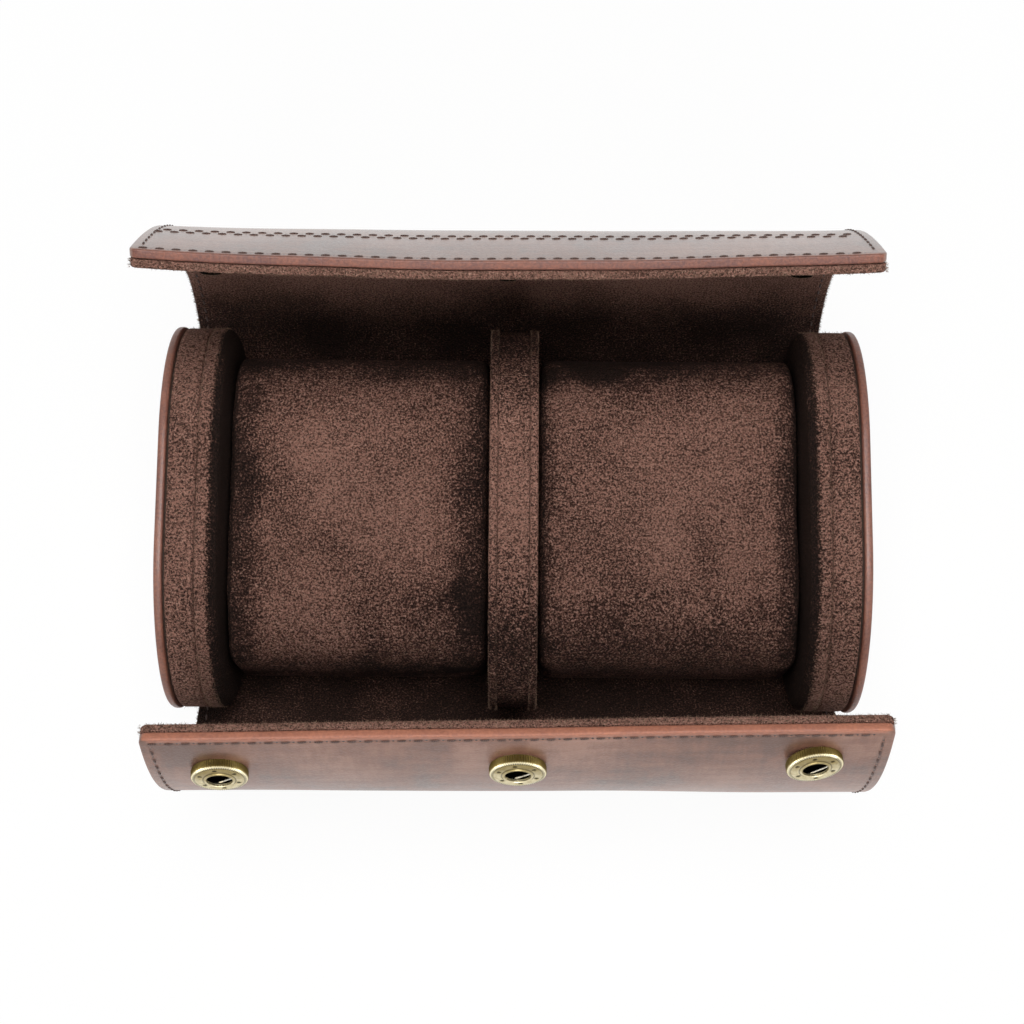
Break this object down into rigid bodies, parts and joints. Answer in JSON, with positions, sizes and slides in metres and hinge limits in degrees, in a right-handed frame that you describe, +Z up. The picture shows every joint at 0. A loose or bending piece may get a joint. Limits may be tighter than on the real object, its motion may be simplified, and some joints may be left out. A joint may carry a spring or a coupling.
{
  "type": "watch travel case",
  "caption": "Suede-lined leather watch roll, shown open: curling flaps that snap shut over padded compartments with lift-out pillows.",
  "frame": {"origin": "middle of the flat underside that the case stands on", "axes": "+X along the roll, +Y towards the back flap, which carries the studs, +Z up"},
  "size_m": [0.15, 0.1196, 0.1158],
  "materials": {
    "outer_leather": "waxed pull-up leather, smooth, with paler creases and reddish cut edges",
    "suede_lining": "dark brown microsuede with a short nap",
    "suede_panel": "dark brown microsuede with a short nap",
    "suede_pillow": "dark brown microsuede, brushed in patches",
    "stiffener_board": "thin flexible board",
    "panel_core": "dense board",
    "pillow_foam": "upholstery foam",
    "antique_brass": "antique brass, darkened in the recesses",
    "spring_wire": "bright spring wire"
  },
  "bodies": {
    "case": {"base_leather": "outer_leather", "base_board": "stiffener_board", "base_lining": "suede_lining", "end_disc_left": "outer_leather", "end_core_left": "panel_core", "end_rim_left": "suede_panel", "end_face_left": "suede_panel", "end_disc_right": "outer_leather", "end_core_right": "panel_core", "end_rim_right": "suede_panel", "end_face_right": "suede_panel", "divider_core": "panel_core", "divider_rim": "suede_panel", "divider_face_left": "suede_panel", "divider_face_right": "suede_panel"},
    "front_lower": {"front_lower_leather": "outer_leather", "front_lower_board": "stiffener_board", "front_lower_lining": "suede_lining"},
    "front_wall": {"front_wall_leather": "outer_leather", "front_wall_board": "stiffener_board", "front_wall_lining": "suede_lining"},
    "front_lip": {"front_lip_leather": "outer_leather", "front_lip_board": "stiffener_board", "front_lip_lining": "suede_lining", "snap_sockets": "antique_brass", "snap_springs": "spring_wire", "snap_eyelets": "antique_brass"},
    "back_lower": {"back_lower_leather": "outer_leather", "back_lower_board": "stiffener_board", "back_lower_lining": "suede_lining"},
    "back_wall": {"back_wall_leather": "outer_leather", "back_wall_board": "stiffener_board", "back_wall_lining": "suede_lining"},
    "back_top": {"back_top_leather": "outer_leather", "back_top_board": "stiffener_board", "back_top_lining": "suede_lining"},
    "back_lip": {"back_lip_leather": "outer_leather", "back_lip_board": "stiffener_board", "back_lip_lining": "suede_lining", "snap_studs": "antique_brass", "snap_stud_rivets": "antique_brass"},
    "pillow_left": {"pillow_left_cover": "suede_pillow", "pillow_left_foam": "pillow_foam"},
    "pillow_right": {"pillow_right_cover": "suede_pillow", "pillow_right_foam": "pillow_foam"}
  },
  "joints": [
    {"name": "front_flap", "type": "hinge", "parent": "case", "child": "front_lower", "pos_m": [0, -0.018, 0.0038], "axis": [-1, 0, 0], "range_deg": [0, 13]},
    {"name": "front_wall_bend", "type": "hinge", "parent": "front_lower", "child": "front_wall", "pos_m": [0, -0.05191, 0.02679], "axis": [-1, 0, 0], "range_deg": [0, 21.6]},
    {"name": "front_lip_bend", "type": "hinge", "parent": "front_wall", "child": "front_lip", "pos_m": [0, -0.05779, 0.05905], "axis": [-1, 0, 0], "range_deg": [0, 32.1]},
    {"name": "back_flap", "type": "hinge", "parent": "case", "child": "back_lower", "pos_m": [0, 0.018, 0.0038], "axis": [1, 0, 0], "range_deg": [0, 12.5]},
    {"name": "back_wall_bend", "type": "hinge", "parent": "back_lower", "child": "back_wall", "pos_m": [0, 0.04939, 0.02474], "axis": [1, 0, 0], "range_deg": [0, 10.1]},
    {"name": "back_top_bend", "type": "hinge", "parent": "back_wall", "child": "back_top", "pos_m": [0, 0.054, 0.05112], "axis": [1, 0, 0], "range_deg": [0, 26.1]},
    {"name": "back_lip_press", "type": "hinge", "parent": "back_top", "child": "back_lip", "pos_m": [0, 0.04375, 0.09156], "axis": [1, 0, 0], "range_deg": [0, 16]},
    {"name": "pillow_left_lift", "type": "slide", "parent": "case", "child": "pillow_left", "axis": [0, 0.1483, -0.9889], "range_m": [-0.085, 0]},
    {"name": "pillow_right_lift", "type": "slide", "parent": "case", "child": "pillow_right", "axis": [0, 0.1483, -0.9889], "range_m": [-0.085, 0]}
  ],
  "couplings": [
    {"joint": "front_wall_bend", "follows": "front_flap", "ratio": 1.6539},
    {"joint": "front_lip_bend", "follows": "front_flap", "ratio": 2.4615},
    {"joint": "back_wall_bend", "follows": "back_flap", "ratio": 0.8},
    {"joint": "back_top_bend", "follows": "back_flap", "ratio": 2.08}
  ]
}
